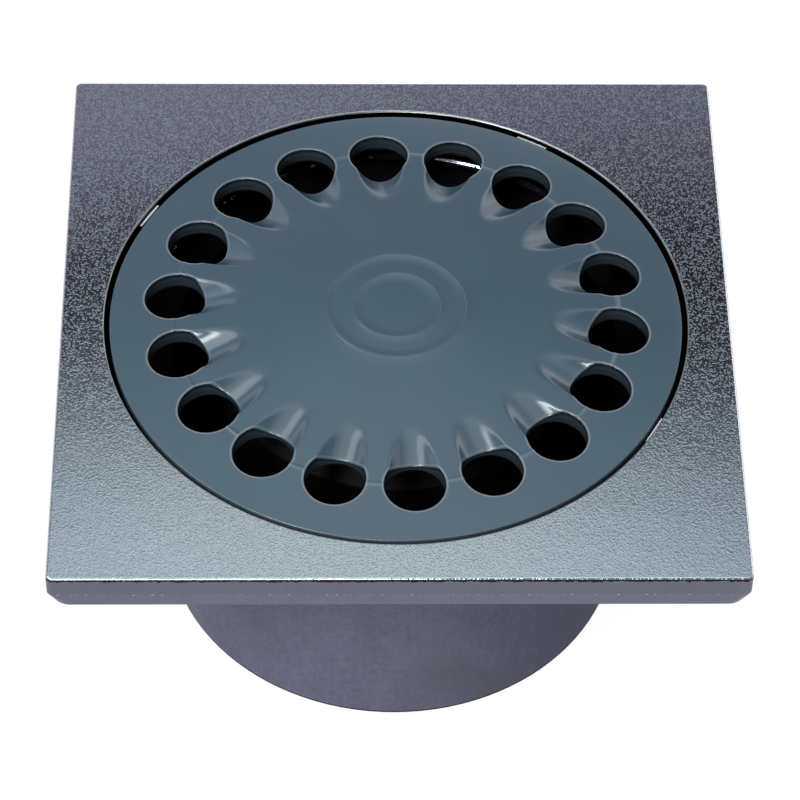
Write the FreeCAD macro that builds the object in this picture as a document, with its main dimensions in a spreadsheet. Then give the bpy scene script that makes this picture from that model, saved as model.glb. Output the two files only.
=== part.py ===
import FreeCAD, Part
import math
import os

import Sketcher

# Square floor drain with a bell trap: a cast body, a domed grid that lies in its recess, and the
# bell that stands over the standpipe inside. Millimetres, +Z up. The origin is the centre of the
# outlet's lower rim, on which the drain stands.

# Each driving size: its alias in the sheet, its value and what it measures.
SIZES = (
    ("plate_side", 150, "side of the square plate"),
    ("plate_edge", 9.4, "height of the plate's sides"),
    ("plate_wall", 3.4, "thickness of the plate's top"),
    ("skirt_wall", 3, "thickness of the plate's sides"),
    ("parting_depth", 5.4, "depth of the mould's parting line below the plate's top"),
    ("side_draft", 0.6, "how far the sides lean in below the parting line"),
    ("corner_round", 1.4, "radius of the plate's upright corners above the parting line"),
    ("foot_round", 4.2, "radius of those corners at the foot of the sides"),
    ("pocket_round", 3, "radius of the hollow's corners under the plate"),
    ("top_round", 0.5, "radius of the plate's top edge"),
    ("lip_round", 0.45, "radius of the recess's lip"),
    ("plate_margin", 9.6, "least width of the plate beside the recess"),
    ("body_height", 77.4, "height of the plate's top above the outlet's rim"),
    ("grid_gap", 1.2, "clearance round the grid in its recess"),
    ("grid_sink", 0.5, "depth of the grid's edge below the plate's top"),
    ("grid_edge", 4.1, "thickness of the grid"),
    ("grid_bevel", 0.4, "bevel of the grid's top edge"),
    ("dome_rise", 4.2, "height of the grid's crown above its edge"),
    ("grid_turn", 4, "angle by which the grid lies turned in its recess"),
    ("hole_count", 18, "number of holes in the grid"),
    ("hole_radius", 6.7, "radius of the grid's holes"),
    ("hole_margin", 7.5, "width of the grid's rim outside the holes"),
    ("flute_radius", 6.2, "radius of the flute that runs into each hole"),
    ("flute_angle", 23, "slope of the flute's floor"),
    ("flute_drop", 4.6, "depth of the flute's floor at the hole's wall, below the crown"),
    ("flute_reach", 14, "length of the flute's cut from the hole's wall towards the centre"),
    ("rim_inset", 0.7, "distance of the grid's seat ring outside its holes"),
    ("rim_lip", 0.75, "height of the grid's seat ring below its shell"),
    ("line_width", 0.5, "width of the medallion's raised lines"),
    ("line_height", 0.15, "height of the medallion's raised lines"),
    ("outer_ring", 15.2, "radius of the medallion's outer line"),
    ("inner_ring", 9.4, "radius of the medallion's inner line"),
    ("seat_width", 5.8, "width of the ledge under the grid's edge"),
    ("gutter_depth", 3.4, "height of the step below that ledge"),
    ("gutter_bevel", 1, "bevel of the corner at the foot of that step"),
    ("funnel_drop", 2.5, "fall of the funnel between the step and the bowl"),
    ("pan_wall", 3, "wall of the recess, its ledge and the funnel"),
    ("pad_count", 4, "number of pads that centre the grid"),
    ("pad_length", 7.5, "length of a centring pad round the recess"),
    ("pad_thickness", 0.6, "thickness of a centring pad"),
    ("pad_height", 3.4, "height of a centring pad above the ledge"),
    ("pad_angle", 60, "angle of the first centring pad from the X axis"),
    ("pipe_radius", 50, "outer radius of the drain pipe"),
    ("pipe_clearance", 0.2, "clearance round the pipe in its socket"),
    ("outlet_wall", 3.1, "wall of the bowl and of the pipe socket"),
    ("outlet_bevel", 0.6, "bevel of the edges of the outlet's rim"),
    ("socket_depth", 25, "depth of the pipe socket"),
    ("trap_floor", 3.2, "thickness of the trap's floor"),
    ("inlet_gap", 10.7, "width of the water's way between the bowl and the bell"),
    ("rise_gap", 8, "width of the water's way between the bell and the standpipe"),
    ("standpipe_wall", 3, "wall of the standpipe"),
    ("bell_wall", 2.5, "wall of the bell"),
    ("bell_bevel", 5, "bevel between the bell's roof and its skirt"),
    ("bell_lift", 5, "gap between the bell's skirt and the trap's floor"),
    ("bell_headroom", 9, "height of the bell's roof above the standpipe's rim"),
    ("bell_clearance", 3, "gap between the bell's grip and the grid"),
    ("grip_height", 5, "height of the bell's grip"),
    ("grip_length", 26, "length of the bell's grip at its foot"),
    ("grip_taper", 3, "how far each end of the grip leans in"),
    ("grip_thickness", 2.6, "thickness of the bell's grip"),
    ("rib_count", 4, "number of ribs inside the bell"),
    ("rib_thickness", 2, "thickness of a rib"),
    ("tongue_width", 5, "width of the rib's tongue inside the standpipe"),
    ("tongue_depth", 6, "depth of the rib's tongue below the standpipe's rim"),
    ("tongue_clearance", 0.3, "clearance between a tongue and the standpipe"),
)

# Radii and heights that follow from the driving sizes, as expressions on the sheet.
HALF_PLATE = "Sizes.plate_side / 2"
FOOT_HALF = "(Sizes.plate_side / 2 - Sizes.side_draft)"
HOLLOW_HALF = "(Sizes.plate_side / 2 - Sizes.side_draft - Sizes.skirt_wall)"
PARTING_Z = "(Sizes.body_height - Sizes.parting_depth)"
PLATE_FOOT_Z = "(Sizes.body_height - Sizes.plate_edge)"
RECESS_RADIUS = "(Sizes.plate_side / 2 - Sizes.plate_margin)"
GRID_RADIUS = "(Sizes.plate_side / 2 - Sizes.plate_margin - Sizes.grid_gap)"
SEAT_RADIUS = f"({GRID_RADIUS} - Sizes.seat_width)"
SEAT_Z = "(Sizes.body_height - Sizes.grid_sink - Sizes.grid_edge)"
GUTTER_Z = f"({SEAT_Z} - Sizes.gutter_depth)"
FUNNEL_Z = f"({GUTTER_Z} - Sizes.funnel_drop)"
BORE_RADIUS = "(Sizes.pipe_radius + Sizes.pipe_clearance)"
OUTLET_RADIUS = f"({BORE_RADIUS} + Sizes.outlet_wall)"
TRAP_FLOOR_Z = "(Sizes.socket_depth + Sizes.trap_floor)"
BELL_RADIUS = f"({BORE_RADIUS} - Sizes.inlet_gap)"
BELL_BORE = f"({BELL_RADIUS} - Sizes.bell_wall)"
STANDPIPE_RADIUS = f"({BELL_BORE} - Sizes.rise_gap)"
STANDPIPE_BORE = f"({STANDPIPE_RADIUS} - Sizes.standpipe_wall)"
ROOF_TOP_Z = f"({SEAT_Z} + Sizes.dome_rise - Sizes.bell_clearance - Sizes.grip_height)"
WEIR_Z = f"({ROOF_TOP_Z} - Sizes.bell_wall - Sizes.bell_headroom)"
HOLE_CIRCLE = f"({GRID_RADIUS} - Sizes.hole_margin - Sizes.hole_radius)"
CROWN = "(Sizes.grid_edge + Sizes.dome_rise)"

NEAR = 0.001  # two measures closer than this are the same


def make_sheet(doc):
    """The spreadsheet of driving sizes, one alias for each row."""
    sheet = doc.addObject("Spreadsheet::Sheet", "Sizes")
    for row, (alias, value, meaning) in enumerate(SIZES, start=1):
        sheet.set(f"A{row}", meaning)
        sheet.set(f"B{row}", str(value))
        sheet.setAlias(f"B{row}", alias)
    doc.recompute()
    return sheet


class Piece:
    """One sub-part: a body of the document and the steps that shape it, bound to the sheet."""

    def __init__(self, doc, sheet, label):
        self.doc = doc
        self.sheet = sheet
        self.body = doc.addObject("PartDesign::Body", label)
        self.body.Label = label

    def value(self, expression):
        """The number that an expression on the sheet has now."""
        return float(self.sheet.evalExpression(expression))

    def origin(self, role):
        """The plane or axis of the body's own origin that has this role."""
        return next(item for item in self.body.Origin.OriginFeatures if item.Role == role)

    def sketch(self, name, role, height="0"):
        """A sketch on one of the body's origin planes, raised by height along its normal."""
        sketch = self.body.newObject("Sketcher::SketchObject", name)
        sketch.AttachmentSupport = [(self.origin(role), "")]
        sketch.MapMode = "FlatFace"
        sketch.setExpression("AttachmentOffset.Base.z", height)
        return sketch

    def bind(self, sketch, kind, geometry, end, expression):
        """Hold one coordinate of a point at the value of an expression."""
        if expression == "0":
            axis = -2 if kind == "DistanceX" else -1
            sketch.addConstraint(Sketcher.Constraint("PointOnObject", geometry, end, axis))
            return
        number = self.value(expression)
        index = sketch.addConstraint(Sketcher.Constraint(kind, -1, 1, geometry, end, number))
        sketch.setExpression(f"Constraints[{index}]", expression)

    def outline(self, sketch, points, arcs=()):
        """A closed outline through points given as pairs of expressions.

        arcs maps the number of a point to the X of the centre of the arc that leaves it.
        """
        arcs = dict(arcs)
        places = [FreeCAD.Vector(self.value(x), self.value(y), 0) for x, y in points]
        sides = []
        for number, start in enumerate(places):
            end = places[(number + 1) % len(places)]
            if number in arcs:
                sides.append(self.add_arc(sketch, start, end, arcs[number]))
            else:
                sides.append((sketch.addGeometry(Part.LineSegment(start, end), False), 1, 2))
        for number, (x, y) in enumerate(points):
            geometry, first, last = sides[number]
            before, _, before_last = sides[number - 1]
            sketch.addConstraint(
                Sketcher.Constraint("Coincident", before, before_last, geometry, first)
            )
            self.bind(sketch, "DistanceX", geometry, first, x)
            self.bind(sketch, "DistanceY", geometry, first, y)
        return sides

    def add_arc(self, sketch, start, end, centre_x):
        """The shorter arc from start to end about a centre with this X; returns its ends' order."""
        across = self.value(centre_x)
        squares = (start.x - across) ** 2 - (end.x - across) ** 2 + start.y**2 - end.y**2
        centre = FreeCAD.Vector(across, squares / (2 * (start.y - end.y)), 0)
        circle = Part.Circle(centre, FreeCAD.Vector(0, 0, 1), (start - centre).Length)
        from_angle = math.atan2(start.y - centre.y, start.x - centre.x)
        to_angle = math.atan2(end.y - centre.y, end.x - centre.x)
        forward = (to_angle - from_angle) % (2 * math.pi) < math.pi
        order = (1, 2) if forward else (2, 1)
        if not forward:
            from_angle, to_angle = to_angle, from_angle
        geometry = sketch.addGeometry(Part.ArcOfCircle(circle, from_angle, to_angle), False)
        self.bind(sketch, "DistanceX", geometry, 3, centre_x)
        return (geometry, *order)

    def rounded_square(self, name, half, radius, height):
        """A sketch of a square with rounded corners, centred on the Z axis at this height."""
        flat = f"({half} - {radius})"
        corners = ((half, flat), (flat, half), (f"-{flat}", half), (f"-({half})", flat))
        turned = tuple((negated(x), negated(y)) for x, y in corners)
        sketch = self.sketch(name, "XY_Plane", height)
        self.outline(
            sketch,
            corners + turned,
            {0: flat, 2: negated(flat), 4: negated(flat), 6: flat},
        )
        return sketch

    def feature(self, kind, name, profile, **sizes):
        """A feature made from a sketch, with its sizes bound to expressions."""
        feature = self.body.newObject(f"PartDesign::{kind}", name)
        feature.Profile = profile
        profile.Visibility = False
        for size, expression in sizes.items():
            feature.setExpression(size, expression)
        return feature

    def turn(self, kind, name, profile, axis="V_Axis"):
        """A full turn of a sketch about one of its axes."""
        feature = self.feature(kind, name, profile)
        feature.ReferenceAxis = (profile, [axis])
        feature.Angle = 360
        return feature

    def around(self, name, originals, count):
        """Copies of features, evenly spaced about the Z axis."""
        pattern = self.body.newObject("PartDesign::PolarPattern", name)
        pattern.Originals = originals
        pattern.Axis = (self.origin("Z_Axis"), [""])
        pattern.Angle = 360
        pattern.setExpression("Occurrences", count)
        self.body.Tip = pattern
        return pattern

    def rounding(self, name, radius, chosen):
        """A fillet of the edges of the body so far for which chosen says yes."""
        self.doc.recompute()
        base = self.body.Tip
        edges = enumerate(base.Shape.Edges, start=1)
        names = [f"Edge{number}" for number, edge in edges if chosen(edge)]
        fillet = self.body.newObject("PartDesign::Fillet", name)
        fillet.Base = (base, names)
        fillet.setExpression("Radius", radius)

    def is_circle(self, radius, height):
        """A test for the edges that lie on a circle about the Z axis."""
        size = self.value(radius)
        level = self.value(height)

        def chosen(edge):
            if edge.Length < NEAR:
                return False
            first, last = edge.ParameterRange
            places = [edge.valueAt(first + (last - first) * share) for share in (0.1, 0.4, 0.8)]
            return all(
                abs(math.hypot(place.x, place.y) - size) < NEAR and abs(place.z - level) < NEAR
                for place in places
            )

        return chosen


def negated(expression):
    """The expression with its sign turned."""
    return expression[1:] if expression.startswith("-") else f"-({expression})"


def make_body(doc, sheet):
    """The cast body: plate, recess, funnel, bowl, trap floor with its standpipe, pipe socket."""
    piece = Piece(doc, sheet, "drain_body")
    shape_plate(piece)
    shape_bowl(piece)
    add_centring_pads(piece)
    top = piece.value("Sizes.body_height")
    recess = piece.value(RECESS_RADIUS)

    def on_plate_rim(edge):
        box = edge.BoundBox
        level = abs(box.ZMin - top) < NEAR and abs(box.ZMax - top) < NEAR
        reach = max(abs(box.XMin), abs(box.XMax), abs(box.YMin), abs(box.YMax))
        return level and reach > recess + NEAR

    piece.rounding("plate_edge_round", "Sizes.top_round", on_plate_rim)
    piece.rounding("recess_lip", "Sizes.lip_round", piece.is_circle(RECESS_RADIUS, "Sizes.body_height"))
    return piece.body


def shape_plate(piece):
    """The plate: an upright band, a band below the parting line that leans in, a hollow underside."""
    top = piece.rounded_square("plate_top", HALF_PLATE, "Sizes.corner_round", "Sizes.body_height")
    band = piece.feature("Pad", "upper_band", top, Length="Sizes.parting_depth")
    band.Reversed = True
    parting = piece.rounded_square("parting_line", HALF_PLATE, "Sizes.corner_round", PARTING_Z)
    foot = piece.rounded_square("plate_foot", FOOT_HALF, "Sizes.foot_round", PLATE_FOOT_Z)
    lower = piece.feature("AdditiveLoft", "lower_band", parting)
    lower.Sections = [foot]
    lower.Ruled = True
    under = piece.rounded_square("plate_hollow", HOLLOW_HALF, "Sizes.pocket_round", PLATE_FOOT_Z)
    hollow = piece.feature("Pocket", "hollow", under, Length="Sizes.plate_edge - Sizes.plate_wall")
    hollow.Reversed = True


def shape_bowl(piece):
    """The turned forms: the outside in one turn, the wet side and the socket as two cuts."""
    inside_plate = "(Sizes.body_height - Sizes.plate_wall / 2)"
    ledge_foot = f"({SEAT_Z} - Sizes.pan_wall)"
    outside = piece.sketch("bowl_outside", "XZ_Plane")
    piece.outline(
        outside,
        (
            ("0", "0"),
            (f"{OUTLET_RADIUS} - Sizes.outlet_bevel", "0"),
            (OUTLET_RADIUS, "Sizes.outlet_bevel"),
            (OUTLET_RADIUS, f"{FUNNEL_Z} - Sizes.pan_wall"),
            (f"{SEAT_RADIUS} + Sizes.pan_wall", f"{GUTTER_Z} - Sizes.pan_wall"),
            (f"{SEAT_RADIUS} + Sizes.pan_wall", ledge_foot),
            (f"{RECESS_RADIUS} + Sizes.pan_wall", ledge_foot),
            (f"{RECESS_RADIUS} + Sizes.pan_wall", inside_plate),
            ("0", inside_plate),
        ),
    )
    piece.turn("Revolution", "bowl_wall", outside)

    above_plate = "(Sizes.body_height + Sizes.plate_wall)"
    wet_side = piece.sketch("wet_side", "XZ_Plane")
    piece.outline(
        wet_side,
        (
            ("0", above_plate),
            ("0", WEIR_Z),
            (STANDPIPE_RADIUS, WEIR_Z),
            (STANDPIPE_RADIUS, TRAP_FLOOR_Z),
            (BORE_RADIUS, TRAP_FLOOR_Z),
            (BORE_RADIUS, FUNNEL_Z),
            (f"{SEAT_RADIUS} - Sizes.gutter_bevel", GUTTER_Z),
            (SEAT_RADIUS, f"{GUTTER_Z} + Sizes.gutter_bevel"),
            (SEAT_RADIUS, SEAT_Z),
            (RECESS_RADIUS, SEAT_Z),
            (RECESS_RADIUS, above_plate),
        ),
    )
    piece.turn("Groove", "recess_and_trap", wet_side)

    below_rim = "-Sizes.outlet_bevel"
    above_weir = f"{WEIR_Z} + Sizes.trap_floor"
    dry_side = piece.sketch("dry_side", "XZ_Plane")
    piece.outline(
        dry_side,
        (
            ("0", below_rim),
            (f"{BORE_RADIUS} + 2 * Sizes.outlet_bevel", below_rim),
            (BORE_RADIUS, "Sizes.outlet_bevel"),
            (BORE_RADIUS, "Sizes.socket_depth"),
            (STANDPIPE_BORE, "Sizes.socket_depth"),
            (STANDPIPE_BORE, above_weir),
            ("0", above_weir),
        ),
    )
    piece.turn("Groove", "socket_and_standpipe", dry_side)


def add_centring_pads(piece):
    """Low pads on the recess's wall that keep the grid near its middle."""
    inner = f"{RECESS_RADIUS} - Sizes.pad_thickness"
    buried = f"{RECESS_RADIUS} + Sizes.pan_wall / 2"
    half = "Sizes.pad_length / 2"
    sketch = piece.sketch("pad_foot", "XY_Plane", SEAT_Z)
    sketch.AttachmentOffset = FreeCAD.Placement(
        sketch.AttachmentOffset.Base, FreeCAD.Rotation(FreeCAD.Vector(0, 0, 1), 1)
    )
    sketch.setExpression("AttachmentOffset.Rotation.Angle", "Sizes.pad_angle")
    piece.outline(
        sketch,
        ((inner, negated(half)), (buried, negated(half)), (buried, half), (inner, half)),
    )
    pad = piece.feature("Pad", "centring_pad", sketch, Length="Sizes.pad_height")
    piece.around("centring_pads", [pad], "Sizes.pad_count")


def make_grid(doc, sheet):
    """The moulded grid: a domed disc with a ring of holes and a flute that runs into each hole."""
    piece = Piece(doc, sheet, "grid")
    ring = f"({HOLE_CIRCLE} + Sizes.hole_radius + Sizes.rim_inset)"
    section = piece.sketch("grid_section", "XZ_Plane")
    piece.outline(
        section,
        (
            ("0", CROWN),
            (f"{GRID_RADIUS} - Sizes.grid_bevel", "Sizes.grid_edge"),
            (GRID_RADIUS, "Sizes.grid_edge - Sizes.grid_bevel"),
            (GRID_RADIUS, "0"),
            (ring, "0"),
            (ring, "Sizes.rim_lip"),
            ("0", "Sizes.dome_rise"),
        ),
        {0: "0", 5: "0"},
    )
    piece.turn("Revolution", "domed_disc", section)
    add_medallion(piece)
    cut_holes(piece)
    turn = FreeCAD.Rotation(FreeCAD.Vector(0, 0, 1), 1)
    piece.body.Placement = FreeCAD.Placement(FreeCAD.Vector(0, 0, 0), turn)
    piece.body.setExpression("Placement.Base.z", SEAT_Z)
    piece.body.setExpression("Placement.Rotation.Angle", "90 + Sizes.grid_turn")
    return piece.body


def add_medallion(piece):
    """Two fine raised circles round the plain middle of the grid."""
    sketch = piece.sketch("medallion_lines", "XZ_Plane")
    for radius in ("Sizes.inner_ring", "Sizes.outer_ring"):
        surface = f"{CROWN} - Sizes.dome_rise * ({radius} / {GRID_RADIUS}) ^ 2"
        inner = f"{radius} - Sizes.line_width / 2"
        outer = f"{radius} + Sizes.line_width / 2"
        low = f"{surface} - Sizes.grid_edge / 4"
        high = f"{surface} + Sizes.line_height"
        piece.outline(sketch, ((inner, low), (outer, low), (outer, high), (inner, high)))
    piece.turn("Revolution", "medallion", sketch)


def cut_holes(piece):
    """One hole with its flute, repeated round the grid.

    The flute is a round cutter that comes in over the dome at a slope and stops on the hole's axis.
    """
    hole_sketch = piece.sketch("hole_circle", "XY_Plane")
    centre = FreeCAD.Vector(piece.value(HOLE_CIRCLE), 0, 0)
    size = piece.value("Sizes.hole_radius")
    circle = hole_sketch.addGeometry(Part.Circle(centre, FreeCAD.Vector(0, 0, 1), size), False)
    piece.bind(hole_sketch, "DistanceX", circle, 3, HOLE_CIRCLE)
    piece.bind(hole_sketch, "DistanceY", circle, 3, "0")
    index = hole_sketch.addConstraint(Sketcher.Constraint("Radius", circle, size))
    hole_sketch.setExpression(f"Constraints[{index}]", "Sizes.hole_radius")
    hole = piece.feature("Pocket", "hole", hole_sketch)
    hole.Type = "ThroughAll"
    hole.Reversed = True

    wall = f"({HOLE_CIRCLE} - Sizes.hole_radius)"
    sill = f"({CROWN} - Sizes.flute_drop)"
    lean = "Sizes.flute_radius * sin(Sizes.flute_angle)"
    rise = "Sizes.flute_radius * cos(Sizes.flute_angle)"
    start_x = f"({wall} - Sizes.flute_reach * cos(Sizes.flute_angle))"
    start_z = f"({sill} + Sizes.flute_reach * sin(Sizes.flute_angle))"
    end_x = f"({HOLE_CIRCLE} - {lean})"
    end_z = f"({sill} - (Sizes.hole_radius - {lean}) * tan(Sizes.flute_angle))"
    axis_start = (f"{start_x} + {lean}", f"{start_z} + {rise}")
    axis_end = (f"{end_x} + {lean}", f"{end_z} + {rise}")
    flute_sketch = piece.sketch("flute_section", "XZ_Plane")
    sides = piece.outline(
        flute_sketch, ((start_x, start_z), (end_x, end_z), axis_end, axis_start)
    )
    axis = Part.LineSegment(
        *(FreeCAD.Vector(piece.value(x), piece.value(z), 0) for x, z in (axis_start, axis_end))
    )
    line = flute_sketch.addGeometry(axis, True)
    flute_sketch.addConstraint(Sketcher.Constraint("Coincident", line, 1, sides[3][0], 1))
    flute_sketch.addConstraint(Sketcher.Constraint("Coincident", line, 2, sides[2][0], 1))
    flute = piece.turn("Groove", "flute", flute_sketch, "Axis0")
    piece.around("holes", [hole, flute], "Sizes.hole_count")


def make_bell(doc, sheet):
    """The moulded bell: an upturned cup on ribs that sit on the standpipe's rim, with a grip."""
    piece = Piece(doc, sheet, "trap_bell")
    roof = "Sizes.bell_headroom"
    top = "(Sizes.bell_headroom + Sizes.bell_wall)"
    foot = f"({TRAP_FLOOR_Z} + Sizes.bell_lift - {WEIR_Z})"
    inner_bevel = "(Sizes.bell_bevel - Sizes.bell_wall * tan(22.5))"
    section = piece.sketch("bell_section", "XZ_Plane")
    piece.outline(
        section,
        (
            ("0", roof),
            (f"{BELL_BORE} - {inner_bevel}", roof),
            (BELL_BORE, f"{roof} - {inner_bevel}"),
            (BELL_BORE, foot),
            (BELL_RADIUS, foot),
            (BELL_RADIUS, f"{top} - Sizes.bell_bevel"),
            (f"{BELL_RADIUS} - Sizes.bell_bevel", top),
            ("0", top),
        ),
    )
    piece.turn("Revolution", "cup", section)

    half_wall = "Sizes.bell_wall / 2"
    tongue_outer = f"({STANDPIPE_BORE} - Sizes.tongue_clearance)"
    tongue_inner = f"({tongue_outer} - Sizes.tongue_width)"
    rib_sketch = piece.sketch("rib_section", "XZ_Plane")
    piece.outline(
        rib_sketch,
        (
            (tongue_inner, "-Sizes.tongue_depth"),
            (tongue_outer, "-Sizes.tongue_depth"),
            (tongue_outer, "0"),
            (f"{BELL_BORE} + {half_wall}", "0"),
            (f"{BELL_BORE} + {half_wall}", f"{roof} - {inner_bevel}"),
            (f"{BELL_BORE} - {inner_bevel}", f"{roof} + {half_wall}"),
            (tongue_inner, f"{roof} + {half_wall}"),
        ),
    )
    rib = piece.feature("Pad", "rib", rib_sketch, Length="Sizes.rib_thickness")
    rib.Midplane = True
    piece.around("ribs", [rib], "Sizes.rib_count")

    foot_half = "Sizes.grip_length / 2"
    top_half = "(Sizes.grip_length / 2 - Sizes.grip_taper)"
    grip_sketch = piece.sketch("grip_section", "XZ_Plane")
    piece.outline(
        grip_sketch,
        (
            (negated(foot_half), f"{top} - {half_wall}"),
            (foot_half, f"{top} - {half_wall}"),
            (top_half, f"{top} + Sizes.grip_height"),
            (negated(top_half), f"{top} + Sizes.grip_height"),
        ),
    )
    grip = piece.feature("Pad", "grip", grip_sketch, Length="Sizes.grip_thickness")
    grip.Midplane = True
    piece.body.setExpression("Placement.Base.z", WEIR_Z)
    return piece.body


def check_document(doc):
    """Stop if an object failed, or if a feature added or removed nothing."""
    for item in doc.Objects:
        if {"Invalid", "Error"} & set(item.State):
            raise RuntimeError(f"{item.Name} failed: {item.State}")
        if item.TypeId in ("PartDesign::Pocket", "PartDesign::Groove"):
            if item.Shape.Volume > item.BaseFeature.Shape.Volume - NEAR:
                raise RuntimeError(f"{item.Name} cuts nothing")
        if item.TypeId in ("PartDesign::Pad", "PartDesign::Revolution") and item.BaseFeature:
            if item.Shape.Volume < item.BaseFeature.Shape.Volume + NEAR:
                raise RuntimeError(f"{item.Name} adds nothing")


def write_parts(bodies):
    """Write each sub-part to a STEP file that has its label's name."""
    for body in bodies:
        shape = body.Shape
        if shape.isNull() or not shape.isValid() or len(shape.Solids) != 1:
            raise RuntimeError(f"{body.Label} is not one valid solid")
    os.makedirs("parts", exist_ok=True)
    for body in bodies:
        body.Shape.exportStep(f"parts/{body.Label}.step")
        print(body.Label, round(body.Shape.Volume), "cubic mm")


def main():
    doc = FreeCAD.newDocument("floor_drain")
    sheet = make_sheet(doc)
    bodies = (make_body(doc, sheet), make_grid(doc, sheet), make_bell(doc, sheet))
    doc.recompute()
    check_document(doc)
    write_parts(bodies)


main()
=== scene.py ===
"""Looks of a square chromed floor drain with a domed slate grid and a black bell trap inside."""
import math

import bpy
import numpy as np
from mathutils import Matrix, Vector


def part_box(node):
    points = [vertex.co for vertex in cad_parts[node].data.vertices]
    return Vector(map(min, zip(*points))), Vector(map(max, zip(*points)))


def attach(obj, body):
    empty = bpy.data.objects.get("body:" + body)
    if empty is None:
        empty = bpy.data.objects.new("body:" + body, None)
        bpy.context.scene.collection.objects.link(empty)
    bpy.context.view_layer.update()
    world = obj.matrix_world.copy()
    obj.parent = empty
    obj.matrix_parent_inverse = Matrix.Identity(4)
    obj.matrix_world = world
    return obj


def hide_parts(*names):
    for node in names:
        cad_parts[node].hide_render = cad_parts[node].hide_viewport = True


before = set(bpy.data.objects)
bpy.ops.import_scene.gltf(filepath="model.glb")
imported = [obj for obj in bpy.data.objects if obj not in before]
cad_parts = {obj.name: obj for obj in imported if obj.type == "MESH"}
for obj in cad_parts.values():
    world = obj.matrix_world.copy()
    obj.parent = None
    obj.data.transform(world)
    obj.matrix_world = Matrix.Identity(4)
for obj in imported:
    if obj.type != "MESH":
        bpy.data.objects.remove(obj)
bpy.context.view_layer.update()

MM = 0.001

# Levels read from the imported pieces, in millimetres
GRID_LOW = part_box("grid")[0]
PLATE_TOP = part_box("drain_body")[1][2] / MM
GRID_SEAT = GRID_LOW[2] / MM
GRID_RADIUS = -GRID_LOW[1] / MM

# Casting, in millimetres
EDGE_LINE_TOP = PLATE_TOP - 0.3
EDGE_LINE_DEPTH = 1.35
PARTING_LINE = PLATE_TOP - 5.4
PARTING_HALF = 0.15
RECESS_RADIUS = 65.4
LIP_RADIUS = RECESS_RADIUS + 0.3
GRAIN_START = RECESS_RADIUS + 0.05
GRAIN_FULL = RECESS_RADIUS + 0.4
PAD_THICKNESS = 0.6
PAD_TOP = GRID_SEAT + 3.4
STEP_RADIUS = 58.4
STEP_FOOT = GRID_SEAT - 3.4
STEP_LINE_INNER = STEP_RADIUS - 0.62
STEP_LINE_OUTER = STEP_RADIUS - 0.3
STEP_LINE_TURN = math.radians(72.5)
STEP_LINE_WHOLE = math.radians(6.5)
STEP_LINE_END = math.radians(9.5)
FUNNEL_FOOT = STEP_FOOT - 2.5
BOWL_RADIUS = 50.2
TRAP_FLOOR = 28.2
OUTLET_RADIUS = 53.3
OUTLET_TOP = FUNNEL_FOOT - 3.0
OUTLET_FOOT_LINE = 1.05

# Grid, in millimetres and degrees
GRID_CROWN = GRID_SEAT + 8.3
GRID_EDGE = 4.1
GRID_EDGE_ROUND = 0.25
GRID_FOOT_ROUND = 0.25
UNDERSIDE_CROWN = GRID_SEAT + 4.2
UNDERSIDE_RIM = GRID_SEAT + 0.75
SEAT_INNER = 57.4
HOLE_COUNT = 18
HOLE_FIRST = -86.0
HOLE_PITCH = 50.0
HOLE_RADIUS = 6.7
HOLE_ROUND = 0.32
HOLE_FOOT_ROUND = 0.3
# Pale line round each hole's rim: mostly a painted highlight on the rounded rim, partly edge wear, weaker
# at the flute's sill
RIM_LINE_WIDTH = 0.24
RIM_WEAR_AND_HIGHLIGHT = 0.8
RIM_LINE_FADE = ((0.9,), (0.25,))
SILL_RIM_LINE = 0.4
SILL_TURN = math.radians(115.0)
SILL_BLEND = math.radians(30.0)
# Painted light along the disc's rounded outer edge, standing in for light bounced from the recess
GRID_EDGE_PAINTED_LIGHT = 0.2
FLUTE_RADIUS = 6.2
FLUTE_SLOPE = math.radians(23.0)
FLUTE_SILL = GRID_SEAT + 3.7
FLUTE_EDGE_SOFTNESS = 0.6
FLUTE_EDGE_BAND = 0.6
FLUTE_EDGE_ROOM = 0.05
FLUTE_OUTSIDE_CLIMB = 20.0
BEAD_HEIGHT = 0.14
BEAD_WIDTH = 0.42
# Painted highlight on the beads, strongest towards the front right
BEAD_HIGHLIGHT = 0.4
BEAD_HIGHLIGHT_TURN = math.radians(-40.0)
BEAD_HIGHLIGHT_MEAN = 0.2
BEAD_HIGHLIGHT_SWING = 0.9
CENTRE_RADIUS = 30.0

# Hole's wall from its rim down: shares of its height, and the painted shade and painted highlight there
WALL_SHARE = np.array([0.08, 0.35, 0.65, 0.86, 0.96])[:, None]
WALL_SHADE = np.array([0.88, 0.5, 0.72, 0.93, 1.0])[:, None]
# The light arc low on the wall is a painted highlight
WALL_HIGHLIGHT = np.array([0.0, 0.0, 0.0, 0.12, 0.0])[:, None]

# Medallion, in millimetres
MEDALLION_RINGS = (9.4, 15.2)
MEDALLION_WIDTH = 0.5
MEDALLION_HEIGHT = 0.14
MEDALLION_ROWS = 7

# Radii of the plain rows of points in the grid's centre, in millimetres
ROWS_OUTSIDE_RINGS = (CENTRE_RADIUS, 27.0, 24.0, 21.0, 18.5)
ROWS_BETWEEN_RINGS = (13.0, 11.5)
ROWS_INSIDE_RINGS = (7.0, 4.5, 2.0, 0.0)
UNDERSIDE_ROWS = (0.0, 8.0, 16.0, 23.0, CENTRE_RADIUS)

# Points of the grid's surface in the same cell of this size are one, in millimetres
WELD_STEP = 1e-4

# Blends at the edges of the casting's zones, in millimetres
SOFT_BLEND = 0.1
SHARP_BLEND = 0.05
STEP_BLEND = 0.04
PARTING_BLEND = 0.06

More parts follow.
